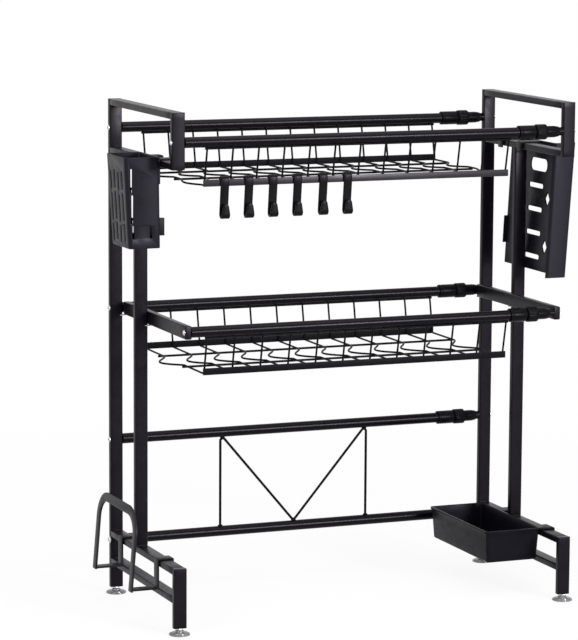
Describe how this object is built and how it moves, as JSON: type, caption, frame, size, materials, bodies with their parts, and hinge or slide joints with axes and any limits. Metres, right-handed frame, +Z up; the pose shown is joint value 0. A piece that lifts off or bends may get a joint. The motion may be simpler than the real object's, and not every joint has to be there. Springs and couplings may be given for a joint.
{
  "type": "over sink dish rack",
  "caption": "Expandable over sink dish rack: tube side frames, telescopic rails, wire baskets, hooks and hang-on holders for utensils, boards, lids and a tray.",
  "frame": {"origin": "middle of the rack's outline on the counter, at the level of the foot pads' undersides", "axes": "+Z up, +X to the right seen from the front and along the telescopic rails, -Y to the front"},
  "size_m": [0.7562, 0.324, 0.771],
  "materials": {
    "frame_coat": "satin black powder coat",
    "rail_coat": "semi-gloss black powder coat",
    "wire_coat": "black coated wire",
    "collar_plastic": "fine matt moulding",
    "hook_plastic": "smooth black",
    "holder_plastic": "fine grained black moulding",
    "tray_plastic": "fine grained black moulding",
    "lid_coat": "satin black powder coat",
    "foot_plastic": "clear greyish moulding"
  },
  "bodies": {
    "left_side": {"left_rear_upright": "frame_coat", "left_front_upright": "frame_coat", "left_handle_post": "frame_coat", "left_handle_top_rail": "frame_coat", "left_handle_low_rail": "frame_coat", "left_foot_post": "frame_coat", "left_foot_top_rail": "frame_coat", "left_foot_low_rail": "frame_coat", "left_shelf_arm": "frame_coat", "top_rear_outer_tube": "rail_coat", "top_front_outer_tube": "rail_coat", "shelf_rear_outer_tube": "rail_coat", "shelf_front_outer_tube": "rail_coat", "back_upper_outer_tube": "rail_coat", "back_lower_outer_tube": "rail_coat", "top_basket_back_grille": "wire_coat", "top_basket_front_grille": "wire_coat", "top_basket_floor_grille": "wire_coat", "shelf_basket_back_grille": "wire_coat", "shelf_basket_front_grille": "wire_coat", "shelf_basket_floor_grille": "wire_coat", "brace_wire": "wire_coat"},
    "right_side": {"right_rear_upright": "frame_coat", "right_front_upright": "frame_coat", "right_handle_post": "frame_coat", "right_handle_top_rail": "frame_coat", "right_handle_low_rail": "frame_coat", "right_foot_post": "frame_coat", "right_foot_top_rail": "frame_coat", "right_foot_low_rail": "frame_coat", "right_shelf_arm": "frame_coat", "top_rear_inner_tube": "rail_coat", "top_front_inner_tube": "rail_coat", "shelf_rear_inner_tube": "rail_coat", "shelf_front_inner_tube": "rail_coat", "back_upper_inner_tube": "rail_coat", "back_lower_inner_tube": "rail_coat"},
    "top_rear_grip_nut": {"top_rear_grip_nut": "collar_plastic"},
    "top_front_grip_nut": {"top_front_grip_nut": "collar_plastic"},
    "shelf_rear_grip_nut": {"shelf_rear_grip_nut": "collar_plastic"},
    "shelf_front_grip_nut": {"shelf_front_grip_nut": "collar_plastic"},
    "back_upper_grip_nut": {"back_upper_grip_nut": "collar_plastic"},
    "back_lower_grip_nut": {"back_lower_grip_nut": "collar_plastic"},
    "left_rear_foot": {"left_rear_foot": "foot_plastic"},
    "left_front_foot": {"left_front_foot": "foot_plastic"},
    "right_rear_foot": {"right_rear_foot": "foot_plastic"},
    "right_front_foot": {"right_front_foot": "foot_plastic"},
    "hook_1": {"hook_1": "hook_plastic"},
    "hook_2": {"hook_2": "hook_plastic"},
    "hook_3": {"hook_3": "hook_plastic"},
    "hook_4": {"hook_4": "hook_plastic"},
    "hook_5": {"hook_5": "hook_plastic"},
    "hook_6": {"hook_6": "hook_plastic"},
    "utensil_holder": {"utensil_holder": "holder_plastic"},
    "lid_holder": {"lid_holder": "lid_coat"},
    "board_holder": {"board_holder": "holder_plastic"},
    "sink_tray": {"sink_tray": "tray_plastic"}
  },
  "joints": [
    {"name": "width_slide", "type": "slide", "parent": "left_side", "child": "right_side", "axis": [1, 0, 0], "range_m": [0, 0.2]},
    {"name": "top_rear_grip_nut_twist", "type": "hinge", "parent": "left_side", "child": "top_rear_grip_nut", "pos_m": [0.28272, 0.145, 0.727], "axis": [1, 0, 0], "range_deg": [0, 180]},
    {"name": "top_front_grip_nut_twist", "type": "hinge", "parent": "left_side", "child": "top_front_grip_nut", "pos_m": [0.28272, -0.136, 0.727], "axis": [1, 0, 0], "range_deg": [0, 180]},
    {"name": "shelf_rear_grip_nut_twist", "type": "hinge", "parent": "left_side", "child": "shelf_rear_grip_nut", "pos_m": [0.28272, 0.145, 0.449], "axis": [1, 0, 0], "range_deg": [0, 180]},
    {"name": "shelf_front_grip_nut_twist", "type": "hinge", "parent": "left_side", "child": "shelf_front_grip_nut", "pos_m": [0.27242, -0.136, 0.449], "axis": [1, 0, 0], "range_deg": [0, 180]},
    {"name": "back_upper_grip_nut_twist", "type": "hinge", "parent": "left_side", "child": "back_upper_grip_nut", "pos_m": [0.28272, 0.145, 0.2435], "axis": [1, 0, 0], "range_deg": [0, 180]},
    {"name": "back_lower_grip_nut_twist", "type": "hinge", "parent": "left_side", "child": "back_lower_grip_nut", "pos_m": [0.28272, 0.145, 0.085], "axis": [1, 0, 0], "range_deg": [0, 180]},
    {"name": "left_rear_foot_screw_out", "type": "slide", "parent": "left_side", "child": "left_rear_foot", "axis": [0, 0, -1], "range_m": [0, 0.008]},
    {"name": "left_front_foot_screw_out", "type": "slide", "parent": "left_side", "child": "left_front_foot", "axis": [0, 0, -1], "range_m": [0, 0.008]},
    {"name": "right_rear_foot_screw_out", "type": "slide", "parent": "right_side", "child": "right_rear_foot", "axis": [0, 0, -1], "range_m": [0, 0.008]},
    {"name": "right_front_foot_screw_out", "type": "slide", "parent": "right_side", "child": "right_front_foot", "axis": [0, 0, -1], "range_m": [0, 0.008]},
    {"name": "hook_1_slide", "type": "slide", "parent": "left_side", "child": "hook_1", "axis": [1, 0, 0], "range_m": [-0.0203, 0.00252]},
    {"name": "hook_2_slide", "type": "slide", "parent": "left_side", "child": "hook_2", "axis": [1, 0, 0], "range_m": [-0.01787, 0.00494]},
    {"name": "hook_3_slide", "type": "slide", "parent": "left_side", "child": "hook_3", "axis": [1, 0, 0], "range_m": [-0.01545, 0.00737]},
    {"name": "hook_4_slide", "type": "slide", "parent": "left_side", "child": "hook_4", "axis": [1, 0, 0], "range_m": [-0.01383, 0.00898]},
    {"name": "hook_5_slide", "type": "slide", "parent": "left_side", "child": "hook_5", "axis": [1, 0, 0], "range_m": [-0.01424, 0.00858]},
    {"name": "hook_6_slide", "type": "slide", "parent": "left_side", "child": "hook_6", "axis": [1, 0, 0], "range_m": [-0.01302, 0.00979]},
    {"name": "utensil_holder_lift_off", "type": "slide", "parent": "left_side", "child": "utensil_holder", "axis": [0, 0, 1], "range_m": [0, 0.05]},
    {"name": "lid_holder_lift_off", "type": "slide", "parent": "left_side", "child": "lid_holder", "axis": [0, 0, 1], "range_m": [0, 0.05]},
    {"name": "board_holder_lift_off", "type": "slide", "parent": "right_side", "child": "board_holder", "axis": [0, 0, 1], "range_m": [0, 0.05]},
    {"name": "sink_tray_lift_off", "type": "slide", "parent": "right_side", "child": "sink_tray", "axis": [0, 0, 1], "range_m": [0, 0.05]}
  ]
}
